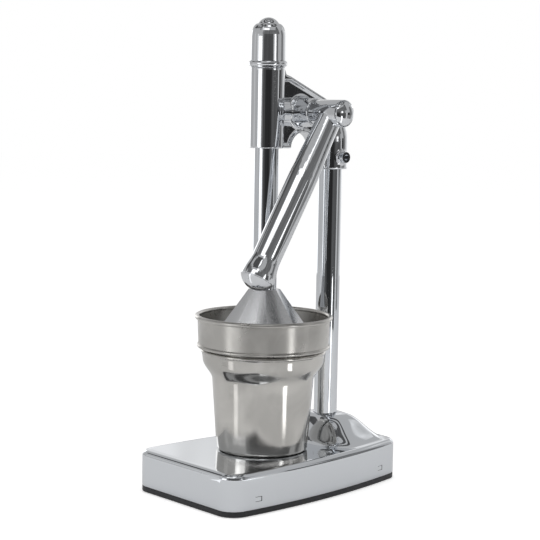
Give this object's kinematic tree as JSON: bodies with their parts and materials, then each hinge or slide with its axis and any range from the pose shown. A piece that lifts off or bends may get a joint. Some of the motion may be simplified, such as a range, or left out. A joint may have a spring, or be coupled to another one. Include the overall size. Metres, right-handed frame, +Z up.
{
  "type": "citrus juicer",
  "caption": "Hand-lever citrus press: chrome base and column, cast head, fluted press bell, strainer bowl with reamer and a stainless juice cup",
  "frame": {"origin": "middle of the base on the ground, the centre of the bounding box's underside", "axes": "+Z up; -Y is the front, where the cup stands; +Y is the rear, where the column stands; +X is the side that carries the lever"},
  "size_m": [0.138, 0.226, 0.4289],
  "materials": {
    "chrome_plate": "bright chrome plating on steel",
    "polished_casting": "die casting polished and plated bright",
    "satin_casting": "satin cast aluminium",
    "satin_stainless": "spun stainless steel with fine circular grain",
    "zinc_plated_steel": "zinc plated steel hardware",
    "black_steel": "black oxide steel",
    "bronze": "sintered bronze bushes",
    "cast_iron": "raw cast iron ballast",
    "black_plastic": "moulded black plastic tray and band",
    "black_rubber": "soft black rubber feet"
  },
  "bodies": {
    "frame": {"base_shell": "chrome_plate", "base_tray": "black_plastic", "rubber_feet": "black_rubber", "ballast_plate": "cast_iron", "tray_screws": "zinc_plated_steel", "column": "chrome_plate", "column_washer": "zinc_plated_steel", "column_nut": "zinc_plated_steel", "head_casting": "polished_casting", "lock_screw": "chrome_plate", "guide_bush": "bronze", "guide_cap": "polished_casting", "cap_button": "polished_casting", "shaft_bushes": "bronze"},
    "lever": {"lever_shaft": "zinc_plated_steel", "retaining_ring": "black_steel", "crank": "zinc_plated_steel", "crank_pin": "zinc_plated_steel", "lever_hub": "polished_casting", "hub_end_cap": "polished_casting", "lever_arm": "polished_casting", "knob_cap": "polished_casting", "lever_set_screw": "black_steel"},
    "plunger": {"plunger_rod": "chrome_plate", "press_bell": "satin_casting", "bell_washer": "zinc_plated_steel", "bell_screw": "zinc_plated_steel"},
    "cup": {"cup": "satin_stainless"},
    "bowl": {"juice_bowl": "satin_stainless", "strainer_plate": "satin_stainless", "reamer": "satin_casting"}
  },
  "joints": [
    {"name": "lever_swing", "type": "hinge", "parent": "frame", "child": "lever", "pos_m": [0, 0.0173, 0.345], "axis": [-1, 0, 0], "range_deg": [0, 77]},
    {"name": "plunger_slide", "type": "slide", "parent": "frame", "child": "plunger", "axis": [0, 0, 1], "range_m": [0, 0.0492]},
    {"name": "cup_lift", "type": "slide", "parent": "frame", "child": "cup", "axis": [0, 0, 1], "range_m": [0, 0.0025]},
    {"name": "bowl_lift", "type": "slide", "parent": "cup", "child": "bowl", "axis": [0, 0, 1], "range_m": [0, 0.0025]}
  ],
  "couplings": [
    {"joint": "plunger_slide", "follows": "lever_swing", "m_per_rad": 0.0366}
  ]
}
